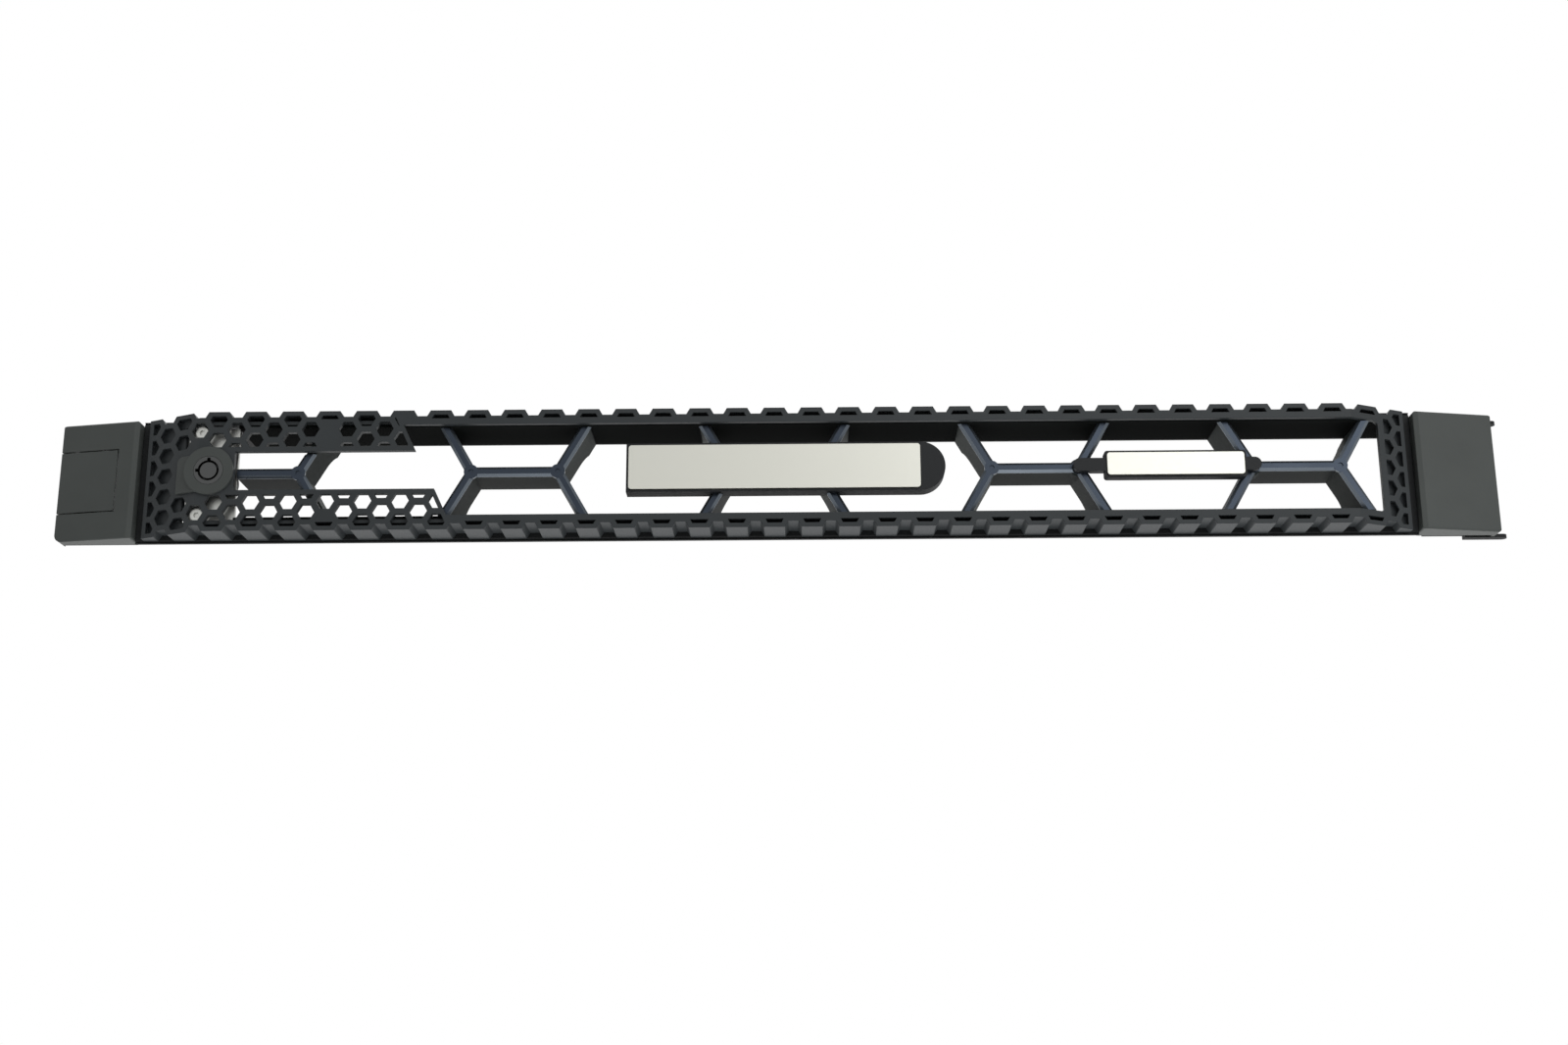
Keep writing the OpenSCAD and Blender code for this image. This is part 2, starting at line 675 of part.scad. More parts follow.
// Bright trim over the fronts of one cluster's ribs, with an eyelet at each junction.
module rib_trim(c) color("#2c3444") {
    sides = c == -2 ? [1] : [-1, 1];
    z1 = c == -2 ? zone_gap - fit : trim_z;
    difference() {
        intersection() {
            union() {
                trim_bar(c * cluster - junction, 0, 2 * junction);
                for (i = sides, j = [-1, 1])
                    trim_bar(c * cluster + i * junction, i > 0 ? j * 60 : 180 - j * 60, 2 * trim_z);
                for (i = sides) translate([c * cluster + i * junction, 0, 0])
                    rod(eye_r, rib_front - trim_t, rib_front);
            }
            tier(-z1, z1) translate([c == -2 ? rail_x0 : -x_end, 0]) square([2 * x_end, seat_d]);
        }
        for (i = sides) translate([c * cluster + i * junction, 0, 0])
            rod(dimple_r, 0, rib_front - trim_t / 2);
        for (x = HUBS) translate([x, 0, 0]) rod(pin_r + 2 * fit, 0, seat_d);
    }
    for (i = peg_sides(c)) translate([c * cluster + i * (junction - peg_in), 0, 0])
        rod(peg_r, rib_front - trim_t / 2, rib_front + peg_len);
}
module rib_trim_far_left() rib_trim(-2);
module rib_trim_left() rib_trim(-1);
module rib_trim_centre() rib_trim(0);
module rib_trim_right() rib_trim(1);
module rib_trim_far_right() rib_trim(2);

// ---- end caps --------------------------------------------------------------------

function cap_d(x) = cap_d0 + (x - cap_x0) * cap_k;

// Slab behind the cap's front face, with its upper and lower front edges chamfered.
module cap_face() translate([cap_x0, cap_d0, 0]) rotate([0, 0, atan(cap_k)])
    rotate([90, 0, 90]) translate([0, 0, -cap_w]) linear_extrude(3 * cap_w)
        polygon([[0, cap_c - cap_z], [cap_c, -cap_z], [through, -cap_z], [through, cap_z],
            [cap_c, cap_z], [0, cap_z - cap_c]]);

module cap_shell(r_low, r_rest) difference() {
    intersection() {
        tier(-cap_z, cap_z)
            polygon([[cap_x0, cap_d0 + slope_d], [cap_x0 + slope_w, cap_d(cap_x0 + slope_w)],
                [cap_x1, cap_d1], [cap_x1, cap_side_d], [cap_x1 - cap_wall, cap_side_d],
                [cap_x1 - cap_wall, cap_back], [cap_x0, cap_back]]);
        cap_face();
        slab(0, through) difference() {
            translate([cap_x0, -cap_z]) square([cap_w, 2 * cap_z]);
            corner_cut(cap_x1, -cap_z, r_low, 1, -1);
            corner_cut(cap_x1, cap_z, r_rest, 1, 1);
            corner_cut(cap_x0, cap_z, r_rest, -1, 1);
            corner_cut(cap_x0, -cap_z, r_rest, -1, -1);
        }
    }
    tier(cap_wall - cap_z, cap_z - cap_wall)
        polygon([[cap_x0 + cap_wall, cap_d(cap_x0 + cap_wall) + cap_ty + slope_d / 2],
            [cap_x0 + 2 * cap_wall, cap_d(cap_x0 + 2 * cap_wall) + cap_ty],
            [cap_x1 - cap_wall, cap_d(cap_x1 - cap_wall) + cap_ty],
            [cap_x1 - cap_wall, through], [cap_x0 + cap_wall, through]]);
}

module cap_bosses() {
    y0 = cap_d(boss_cx) + cap_ty;
    for (j = [-1, 1]) translate([boss_cx, 0, j * boss_z]) difference() {
        rod(boss_r, y0 - cap_wall / 2, cap_back);
        rod(screw_r + fit / 2, y0 + fit, through);
    }
}

module right_end_cap() color("#5d605d") {
    cap_shell(cap_r, cap_r);
    cap_bosses();
}

module left_end_cap() color("#46484a") left_side() {
    z0 = button_z + button_gap;
    y0 = cap_d(pivot_x) + cap_wall * 3 / 4;
    difference() {
        union() {
            cap_shell(cap_r_low, cap_r);
            cap_bosses();
            for (j = [-1, 1]) tier(j > 0 ? z0 : cap_wall / 2 - cap_z, j > 0 ? cap_z - cap_wall / 2 : -z0)
                translate([pivot_x - lug_w / 2, y0]) square([lug_w, cap_back - y0]);
        }
        translate([button_x, 0, -button_z]) cube([2 * button_w, through, 2 * button_z]);
        translate([pivot_x, pivot_d, -pivot_half - fit]) cylinder(r = pivot_r + run, h = 2 * (pivot_half + fit));
    }
}

module cap_screws() {
    for (j = [-1, 1]) screw(boss_cx, j * boss_z, end_plate_d + end_plate_t, screw_len, -1);
}
module left_cap_screws() color("#8d8f90") left_side() cap_screws();
module right_cap_screws() color("#8d8f90") translate([0, hinge_t, 0]) {
    for (j = [-1, 1]) screw(boss_cx, j * boss_z, end_plate_d + end_plate_t, screw_len + hinge_t, -1);
}

// ---- hinge bracket ----------------------------------------------------------------

module hinge_bracket() color("#4c4f50") {
    y0 = end_plate_d + end_plate_t;
    x0 = cap_x0 + hinge_in;
    x1 = cap_x1 - hinge_out;
    tab_x0 = cap_x1 - tab_in;
    difference() {
        slab(y0, y0 + hinge_t) difference() {
            translate([x0, -end_plate_z]) square([x1 - x0, 2 * end_plate_z]);
            translate([x0 + hinge_rim, -hinge_win]) square([x1 - x0 - 2 * hinge_rim, 2 * hinge_win]);
        }
        for (j = [-1, 1]) translate([boss_cx, 0, j * boss_z]) rod(screw_r + 2 * fit, 0, through);
    }
    for (j = [-1, 1]) {
        slab(y0, y0 + hinge_t) translate([tab_x0, j > 0 ? end_plate_z - tab_t : -tab_z])
            square([x1 - tab_x0, tab_z + tab_t - end_plate_z]);
        tier(j > 0 ? tab_z - tab_t : -tab_z, j > 0 ? tab_z : tab_t - tab_z) {
            translate([tab_x0, y0]) square([tab_in + tab_out - tab_r, 2 * tab_r]);
            translate([cap_x1 + tab_out - tab_r, y0 + tab_r]) circle(r = tab_r);
        }
    }
}

// ---- release latch ------------------------------------------------------------------

module release_lever() color("#505254") left_side() {
    bz = button_z - button_gap;
    u0 = button_x + button_gap;
    difference() {
        union() {
            tier(-bz, bz) polygon([[u0, cap_d(u0)], [cap_x1, cap_d1], [cap_x1, cap_side_d],
                [cap_x1 - button_t, cap_side_d], [cap_x1 - button_t, cap_d(cap_x1 - button_t) + button_t],
                [u0, cap_d(u0) + button_t]]);
            tier(-bz, bz) translate([pivot_x, pivot_d]) circle(r = pivot_barrel_r);
            tier(-bz, bz) translate([pivot_x - arm_w / 2, cap_d(pivot_x) + button_t / 2])
                square([arm_w, pivot_d - cap_d(pivot_x) - button_t / 2]);
            tier(-arm_z, arm_z) polygon([[pivot_x - arm_w / 2, pivot_d], [pivot_x + arm_w / 2, pivot_d],
                [pivot_x + arm_w / 2, hook_d - hook_len], [pivot_x + arm_w / 2 + hook_reach, hook_d - hook_len],
                [pivot_x + arm_w / 2 + hook_reach, hook_d - hook_len + hook_flat],
                [pivot_x + arm_w / 2, hook_d], [pivot_x - arm_w / 2, hook_d]]);
        }
        translate([pivot_x, pivot_d, -cap_z]) cylinder(r = pivot_r + run, h = 2 * cap_z);
    }
}

module pivot_pin() color("#a9abac") left_side()
    translate([pivot_x, pivot_d, -pivot_half]) cylinder(r = pivot_r, h = 2 * pivot_half);

module return_spring() color("#b4b6b5") left_side() {
    y1 = end_plate_d;
    x1 = cap_x1 - bar_out - 2 * fit;
    x0 = x1 - leaf_len;
    tip = cap_d(x1) + button_t + leaf_t * 3 / 4;
    tier(-leaf_z, leaf_z) polygon([[x1, y1], [x1, y1 - leaf_t], [x0 + 2.3 * leaf_t, y1 - leaf_t],
        [x0 + 1.4 * leaf_t, y1 - 2 * leaf_t], [x1 - 0.6 * leaf_t, tip + leaf_t], [x1 - 0.9 * leaf_t, tip],
        [x0 + 0.3 * leaf_t, y1 - 2.2 * leaf_t], [x0, y1 - leaf_t / 2], [x0 + 1.2 * leaf_t, y1]]);
}

// ---- lock ------------------------------------------------------------------------------

module at_lock() translate([-lock_x, 0, 0]) children();

module lock_escutcheon() color("#515355") difference() {
    union() {
        at_lock() rod(esc_r, -esc_t, 0);
        intersection() {
            union() {
                at_lock() rod(esc_r, -esc_t / 2, corr_d);
                difference() {
                    slab(-2 * esc_t, corr_d) difference() {
                        translate([-lock_x - lobe_len, esc_z0]) square([lobe_len, esc_z1 - esc_z0]);
                        corner_cut(-lock_x - lobe_len, esc_z1, lobe_r1, -1, 1);
                        corner_cut(-lock_x - lobe_len, esc_z0, lobe_r0, -1, -1);
                    }
                    before_skin(-esc_t);
                }
            }
            before_skin(0);
        }
    }
    at_lock() rod(esc_bore, -through, through);
    at_lock() rod(barrel_r + fit, 0, through);
}

module lock_barrel() color("#3b3d3f") at_lock() difference() {
    reach = key_r1 + notch_len;
    union() {
        rod(esc_bore - fit, -esc_t, esc_t);
        rod(barrel_r, fit, barrel_back);
    }
    rod(plug_r + run, key_d, through);
    rod(key_r1, -through, key_d + eps);
    slab(-through, key_d + eps) {
        translate([-notch_w / 2, 0]) square([notch_w, reach]);
        translate([-reach, -notch_w / 2]) square([reach, notch_w]);
    }
}

module lock_plug() color("#77797a") at_lock() difference() {
    union() {
        rod(key_r0, fit - esc_t, 2 * key_d);
        rod(plug_r, key_d + run, barrel_back + run);
        slab(barrel_back, plug_tail_d) square(2 * tail_h, center = true);
    }
    rod(screw_r + fit / 2, cam_d + cam_t - screw_len, through);
}

module lock_nut() color("#8a8c8c") at_lock() difference() {
    rotate([0, 30, 0]) rod(nut_af / sqrt(3), bracket_d + bracket_t, bracket_d + bracket_t + nut_t, $fn = 6);
    rod(barrel_r + run, 0, through);
}

// Sheet-metal plate behind the lock, with a wing bent back beside the swept end of the mesh.
module lock_bracket() color("#6c6e6f") difference() {
    x0 = -lock_x - wing_len;
    x1 = -lock_x - bracket_bend;
    y0 = bracket_d + (x1 - x0) * sweep_k;
    union() {
        slab(bracket_d, bracket_d + bracket_t) translate([x1, -bracket_z])
            square([rail_x0 - 2 * fit - x1, 2 * bracket_z]);
        tier(wing_z0, wing_z1) polygon([[x0, y0], [x1, bracket_d], [x1 + bracket_t, bracket_d],
            [x1 + bracket_t, bracket_d + bracket_t], [x1, bracket_d + bracket_t], [x0, y0 + bracket_t]]);
    }
    at_lock() rod(barrel_r + fit, 0, through);
    for (j = [-1, 1]) translate([-bend, 0, j * bracket_screw_z]) rod(screw_r + fit, 0, through);
}

module bracket_screws() color("#a4a6a6") {
    for (j = [-1, 1]) screw(-bend, j * bracket_screw_z, bracket_d, screw_len);
}

module lock_cam() color("#9a9c9b") at_lock() difference() {
    union() {
        rod(cam_w / 2, cam_d, cam_d + cam_t);
        slab(cam_d, cam_d + cam_t) {
            translate([cam_r - cam_len, -cam_w / 2]) square([cam_len - cam_r, cam_w * 3 / 4]);
            translate([cam_r - cam_len, cam_w / 4 - cam_r]) circle(r = cam_r);
            translate([-cam_len, -cam_w / 2]) square([2 * cam_r, cam_w * 3 / 4 - cam_r]);
        }
    }
    slab(0, through) square(2 * (tail_h + fit / 2), center = true);
}

module cam_screw() color("#a4a6a6") screw(-lock_x, 0, cam_d + cam_t, screw_len - cam_t / 2, -1);

// ---- badges ------------------------------------------------------------------------------

// Space that a badge carrier leaves for the trimmed ribs of clusters cs and for the hubs at xs.
module rib_clearance(cs, xs) {
    slab(rib_front - trim_t - fit, through) for (c = cs) ribs_outline(c, trim_over + fit);
    for (x = xs) translate([x, 0, 0]) rod(hub_r + fit, rib_front - trim_t - fit, through);
}

// Pins that hold a badge carrier in the hubs at xs.
module carrier_pins(xs) {
    for (x = xs) translate([x, 0, 0]) rod(pin_r, rib_front / 2, rib_front + pin_len);
}

module badge_carrier() color("#26282a") {
    r = badge_h / 2 + badge_rim;
    xs = [-junction, junction];
    difference() {
        slab(0, badge_carrier_d) {
            translate([-badge_w / 2 - badge_rim, -r]) square([badge_w + badge_rim, 2 * r]);
            translate([badge_w / 2, 0]) circle(r = r);
        }
        slab(-badge_t, badge_sink) round_rect(badge_w + 2 * fit, badge_h + 2 * fit, badge_r);
        rib_clearance([0], xs);
    }
    carrier_pins(xs);
}

module badge_plate() color("#c9c9c1") slab(badge_sink - badge_t, badge_sink)
    round_rect(badge_w, badge_h, badge_r);

module small_badge_carrier() color("#26282a") {
    xs = [cluster + junction, 2 * cluster - junction];
    difference() {
        slab(0, small_carrier_d) {
            translate([xs[0], -small_bar_z]) square([xs[1] - xs[0], 2 * small_bar_z]);
            translate([small_x, 0]) round_rect(small_w + 2 * badge_rim, small_h + 2 * badge_rim, badge_r);
            for (x = xs) translate([x, 0]) circle(r = small_bar_z);
        }
        slab(-badge_t, badge_sink)
            translate([small_x, 0]) round_rect(small_w + 2 * fit, small_h + 2 * fit, badge_r);
        rib_clearance([1, 2], xs);
    }
    carrier_pins(xs);
}

module small_badge_plate() color("#c9c9c1") slab(badge_sink - badge_t, badge_sink)
    translate([small_x, 0]) round_rect(small_w, small_h, badge_r);

// ---- assembly ------------------------------------------------------------------------------

place() mesh_fascia();
place() rear_frame();
place() rib_grille();
place() rib_trim_far_left();
place() rib_trim_left();
place() rib_trim_centre();
place() rib_trim_right();
place() rib_trim_far_right();
place() left_end_cap();
place() right_end_cap();
place() left_cap_screws();
place() right_cap_screws();
place() hinge_bracket();
place() release_lever();
place() pivot_pin();
place() return_spring();
place() lock_escutcheon();
place() lock_barrel();
place() lock_nut();
place() lock_bracket();
place() bracket_screws();
place() lock_plug();
place() lock_cam();
place() cam_screw();
place() badge_carrier();
place() badge_plate();
place() small_badge_carrier();
place() small_badge_plate();
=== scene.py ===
"""Looks of a rack server's front bezel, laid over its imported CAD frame.

Every size and place comes from the frame, in metres. X runs along the bezel, Y goes into the
rack, Z is up, and the bezel stands on its lower edge.
"""

import math

import bpy
import numpy as np
from bpy.props import FloatProperty, FloatVectorProperty, PointerProperty
from mathutils import Matrix, Vector


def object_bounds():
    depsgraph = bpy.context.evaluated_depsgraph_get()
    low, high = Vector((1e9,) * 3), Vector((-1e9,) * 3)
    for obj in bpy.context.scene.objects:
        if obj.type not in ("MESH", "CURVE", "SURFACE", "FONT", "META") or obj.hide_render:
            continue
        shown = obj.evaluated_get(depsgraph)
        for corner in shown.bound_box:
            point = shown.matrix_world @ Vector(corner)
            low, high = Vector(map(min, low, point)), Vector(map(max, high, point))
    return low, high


bl_info = {
    "name": "Server Front Bezel",
    "version": (1, 0, 0),
    "blender": (4, 5, 0),
    "location": "View3D > Sidebar > Bezel",
    "description": "Finishes, stage and camera of a rack server's front bezel",
    "category": "Object",
}

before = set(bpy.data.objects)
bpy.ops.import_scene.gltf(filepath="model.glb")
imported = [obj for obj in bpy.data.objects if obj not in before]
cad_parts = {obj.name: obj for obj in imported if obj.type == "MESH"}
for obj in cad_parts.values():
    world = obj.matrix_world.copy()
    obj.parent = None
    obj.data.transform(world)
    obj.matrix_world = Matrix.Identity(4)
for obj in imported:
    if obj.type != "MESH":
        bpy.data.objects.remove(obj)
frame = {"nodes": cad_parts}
NODES = frame["nodes"]
CAD_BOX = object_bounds()
MM = 0.001

# Noise values gather round 0.5: this band of them is stretched over a material's whole range.
NOISE_BAND = {"From Min": 0.3, "From Max": 0.7}
# Widths of the faint clouds in the plastic's grey and in the trims' gloss, in mm.
PLASTIC_CLOUD, TRIM_CLOUD = 35, 18
# Radius that the edges of metal pieces are softened to, in mm.
METAL_EDGE = 0.2
# Colours of the pieces that have no setting of their own.
CARRIER_BLACK = "#1c1e20"
ZINC_GREY = "#b9bab6"
SPRING_GREY = "#c0c1c2"
LOCK_GREY = "#4c4d4d"
# Heights between which shade is painted on the grille's rails, turning them from rib grey to matt
# near-black, in mm.
PAINTED_SHADE_FROM, PAINTED_SHADE_FULL = 14.9, 15.3
# What the rails keep of the ribs' colour under their painted shade.
RAIL_SHADE = 0.12
# Softboxes: where they hang from the bezel's middle, and their widths, in metres.
KEY_PLACE, KEY_WIDTH = Vector((0.55, -0.9, 0.55)), 0.9
FILL_PLACE, FILL_WIDTH = Vector((0.1, -0.12, -0.9)), 0.8
# How far the floor reaches from the middle, in metres.
FLOOR_REACH = 2


# ---- colour and nodes ----------------------------------------------------------------------


def linear(code):
    """Turns an sRGB hex colour into linear red, green, blue and an alpha of 1."""
    parts = np.array([int(code[i : i + 2], 16) for i in (1, 3, 5)]) / 255
    flat = np.where(parts <= 0.04045, parts / 12.92, ((parts + 0.055) / 1.055) ** 2.4)
    return (*flat.tolist(), 1.0)


def add(tree, kind, inputs=(), **settings):
    """Adds a node: settings are its properties, inputs maps a socket to a value or an output."""
    new = tree.nodes.new(kind)
    for key, value in settings.items():
        setattr(new, key, value)
    for key, value in dict(inputs).items():
        if isinstance(value, bpy.types.NodeSocket):
            tree.links.new(value, new.inputs[key])
        else:
            new.inputs[key].default_value = value
    return new


def new_material(name):
    """Makes an empty node material and returns it with its tree and its output's socket."""
    material = bpy.data.materials.new(name)
    material.use_nodes = True
    tree = material.node_tree
    tree.nodes.clear()
    output = add(tree, "ShaderNodeOutputMaterial")
    return material, tree, output.inputs["Surface"]


def dress(material, *names):
    """Puts a material on the slots of CAD nodes."""
    for name in names:
        for slot in NODES[name].material_slots:
            slot.material = material


# ---- materials -----------------------------------------------------------------------------


def moulded_plastic(
    name, colour, roughness, grain_mm, depth_mm, edge_mm=0.35, specular=0.22, painted_rail_shade=False
):
    """Injection-moulded ABS.

    Spark erosion gives the mould a fine grain, which shows as a satin, slightly uneven sheen. It
    is drawn coarser than the real one, so that it shows. Wide clouds vary the grey a little, and
    edges are soft. With the rail shade switched on, shade is painted on the grille's rails: the
    grey turns matt near-black at their height.
    """
    material, tree, surface = new_material(name)
    place = add(tree, "ShaderNodeTexCoord").outputs["Object"]
    cloud = add(
        tree,
        "ShaderNodeTexNoise",
        {"Vector": place, "Scale": 1 / (PLASTIC_CLOUD * MM), "Detail": 3.0, "Roughness": 0.6},
    )
    grain = add(
        tree,
        "ShaderNodeTexNoise",
        {"Vector": place, "Scale": 1 / (grain_mm * MM), "Detail": 1.0, "Roughness": 0.5},
    )
    tint = add(
        tree,
        "ShaderNodeMapRange",
        {"Value": cloud.outputs["Fac"], **NOISE_BAND, "To Min": 0.9, "To Max": 1.1},
    )
    shade = add(
        tree,
        "ShaderNodeVectorMath",
        {0: colour[:3], "Scale": tint.outputs["Result"]},
        operation="SCALE",
    ).outputs["Vector"]
    satin = add(
        tree,
        "ShaderNodeMapRange",
        {
            "Value": grain.outputs["Fac"],
            **NOISE_BAND,
            "To Min": roughness - 0.05,
            "To Max": roughness + 0.05,
        },
    ).outputs["Result"]
    # Painted shade: the rails' grey is darkened to near black by height.
    if painted_rail_shade:
        shade, satin = paint_shade_on_rails(tree, place, shade, satin)
    soft = add(tree, "ShaderNodeBevel", {"Radius": edge_mm * MM}, samples=4)
    bump = add(
        tree,
        "ShaderNodeBump",
        {
            "Strength": 0.6,
            "Distance": depth_mm * MM,
            "Height": grain.outputs["Fac"],
            "Normal": soft.outputs["Normal"],
        },
    )
    plastic = add(
        tree,
        "ShaderNodeBsdfPrincipled",
        {
            "Base Color": shade,
            "Roughness": satin,
            "IOR": 1.5,
            "Specular IOR Level": specular,
            "Normal": bump.outputs["Normal"],
        },
    )
    tree.links.new(plastic.outputs["BSDF"], surface)
    return material


def paint_shade_on_rails(tree, place, shade, satin):
    """Paints shade on the grille's rails: darkens a colour and dulls a roughness by height, the
    same above as below the middle.
    """
    height = add(tree, "ShaderNodeSeparateXYZ", {"Vector": place}).outputs["Z"]
    height = add(tree, "ShaderNodeMath", {0: height}, operation="ABSOLUTE").outputs["Value"]
    bare = add(
        tree,
        "ShaderNodeMapRange",
        {
            "Value": height,
            "From Min": PAINTED_SHADE_FROM * MM,
            "From Max": PAINTED_SHADE_FULL * MM,
            "To Min": 1.0,
            "To Max": RAIL_SHADE,
        },
    ).outputs["Result"]
    shade = add(tree, "ShaderNodeVectorMath", {0: shade, "Scale": bare}, operation="SCALE")
    satin = add(tree, "ShaderNodeMapRange", {"Value": bare, "To Min": 1.0, "To Max": satin})
    return shade.outputs["Vector"], satin.outputs["Result"]


def worked_metal(name, colour, roughness, grain_mm):
    """Plated, ground or anodised metal: satin, with a fine grain in its sheen and soft edges.

    The grain is drawn coarser than the real one, so that it shows.
    """
    material, tree, surface = new_material(name)
    place = add(tree, "ShaderNodeTexCoord").outputs["Object"]
    grain = add(
        tree,
        "ShaderNodeTexNoise",
        {"Vector": place, "Scale": 1 / (grain_mm * MM), "Detail": 2.0, "Roughness": 0.6},
    )
    satin = add(
        tree,
        "ShaderNodeMapRange",
        {
            "Value": grain.outputs["Fac"],
            **NOISE_BAND,
            "To Min": roughness - 0.06,
            "To Max": roughness + 0.06,
        },
    )
    soft = add(tree, "ShaderNodeBevel", {"Radius": METAL_EDGE * MM}, samples=4)
    bump = add(
        tree,
        "ShaderNodeBump",
        {
            "Strength": 0.3,
            "Distance": 0.01 * MM,
            "Height": grain.outputs["Fac"],
            "Normal": soft.outputs["Normal"],
        },
    )
    metal = add(
        tree,
        "ShaderNodeBsdfPrincipled",
        {
            "Base Color": colour,
            "Metallic": 1.0,
            "Roughness": satin.outputs["Result"],
            "Normal": bump.outputs["Normal"],
        },
    )
    tree.links.new(metal.outputs["BSDF"], surface)
    return material


def gloss_trim(name, front, side):
    """Metallised foil on ABS: dark gloss on its flat front, and a paler colour painted along its
    sloped edges as highlight.

    The front faces -Y; the slopes lean well away from it and take the painted highlight. Wide
    clouds vary the gloss.
    """
    material, tree, surface = new_material(name)
    place = add(tree, "ShaderNodeTexCoord").outputs["Object"]
    normal = add(tree, "ShaderNodeNewGeometry").outputs["True Normal"]
    lean = add(
        tree,
        "ShaderNodeMapRange",
        {
            "Value": add(tree, "ShaderNodeSeparateXYZ", {"Vector": normal}).outputs["Y"],
            "From Min": -0.95,
            "From Max": -0.7,
        },
    )
    cloud = add(
        tree,
        "ShaderNodeTexNoise",
        {"Vector": place, "Scale": 1 / (TRIM_CLOUD * MM), "Detail": 2.0},
    )
    # Painted highlight: the sloped edges are blended to the paler colour, for the highlight lines
    # along them.
    blend = add(
        tree,
        "ShaderNodeMix",
        {"Factor": lean.outputs["Result"], 6: front, 7: side},
        data_type="RGBA",
    )
    gloss = add(
        tree,
        "ShaderNodeMapRange",
        {"Value": cloud.outputs["Fac"], **NOISE_BAND, "To Min": 0.2, "To Max": 0.34},
    )
    foil = add(
        tree,
        "ShaderNodeBsdfPrincipled",
        {
            "Base Color": blend.outputs[2],
            "Metallic": 0.7,
            "Roughness": gloss.outputs["Result"],
        },
    )
    tree.links.new(foil.outputs["BSDF"], surface)
    return material


def pale_floor(colour):
    """Matt pale floor, seen from above only: other rays pass, so it neither hides nor lights."""
    material, tree, surface = new_material("matt_pale_floor")
    path = add(tree, "ShaderNodeLightPath")
    facing = add(tree, "ShaderNodeNewGeometry")
    front = add(
        tree,
        "ShaderNodeMath",
        {0: path.outputs["Is Camera Ray"], 1: facing.outputs["Backfacing"]},
        operation="SUBTRACT",
        use_clamp=True,
    )
    through = add(tree, "ShaderNodeBsdfTransparent")
    matt = add(tree, "ShaderNodeBsdfDiffuse", {"Color": colour})
    both = add(
        tree,
        "ShaderNodeMixShader",
        {0: front.outputs["Value"], 1: through.outputs["BSDF"], 2: matt.outputs["BSDF"]},
    )
    tree.links.new(both.outputs["Shader"], surface)
    return material


# ---- settings ------------------------------------------------------------------------------


class BezelFinishes(bpy.types.PropertyGroup):
    """Colours of the bezel's mouldings and metal"""

    fascia: FloatVectorProperty(
        name="Fascia",
        description="Satin grey of the hexagonal mesh moulding",
        subtype="COLOR",
        size=4,
        default=linear("#3c4042"),
    )
    frame: FloatVectorProperty(
        name="Rear frame",
        description="Dark grey of the frame behind the mesh",
        subtype="COLOR",
        size=4,
        default=linear("#1d1f20"),
    )
    ribs: FloatVectorProperty(
        name="Rib grille",
        description="Grey of the deep honeycomb ribs",
        subtype="COLOR",
        size=4,
        default=linear("#3f4543"),
    )
    caps: FloatVectorProperty(
        name="End caps",
        description="Grey of the two end caps, the release button and the lock's ring",
        subtype="COLOR",
        size=4,
        default=linear("#545856"),
    )
    trim: FloatVectorProperty(
        name="Rib trims",
        description="Dark metallised gloss on the flat fronts of the rib trims",
        subtype="COLOR",
        size=4,
        default=linear("#2f3742"),
    )
    # Painted highlight: this paler colour stands for the highlight lines along the trims' sloped
    # edges.
    trim_edge_highlight: FloatVectorProperty(
        name="Rib trim edges",
        description="Pale metallised gloss on the sloped edges of the rib trims",
        subtype="COLOR",
        size=4,
        default=linear("#6d757d"),
    )
    badge: FloatVectorProperty(
        name="Badge plates",
        description="Satin silver of the bare badge plates",
        subtype="COLOR",
        size=4,
        default=linear("#bdbdb5"),
    )


class BezelStage(bpy.types.PropertyGroup):
    """Camera, lamps and floor"""

    lens: FloatProperty(
        name="Lens", description="Focal length on a 36 mm wide sensor", default=45.0, min=10.0
    )
    pan: FloatProperty(
        name="Pan",
        description="Turn of the view to the left",
        subtype="ANGLE",
        default=math.radians(0.565),
    )
    tilt: FloatProperty(
        name="Tilt",
        description="Upward slope of the view",
        subtype="ANGLE",
        default=math.radians(15.534),
    )
    roll: FloatProperty(
        name="Roll",
        description="Turn about the line of view",
        subtype="ANGLE",
        default=math.radians(-0.274),
    )
    stand: FloatVectorProperty(
        name="Camera place",
        description="Where the camera stands",
        subtype="XYZ",
        unit="LENGTH",
        default=(0.00917, -0.64229, -0.19040),
    )
    key_power: FloatProperty(
        name="Key lamp", description="Watts of the large front softbox", default=5.0, min=0.0
    )
    fill_power: FloatProperty(
        name="Fill lamp", description="Watts of the softbox underneath", default=3.5, min=0.0
    )
    surround: FloatProperty(
        name="Surround",
        description="Light that the white surround gives the object",
        default=0.22,
        min=0.0,
    )
    floor: FloatVectorProperty(
        name="Floor",
        description="Colour of the pale floor",
        subtype="COLOR",
        size=4,
        default=linear("#e9e9e7"),
    )


# ---- operators -----------------------------------------------------------------------------


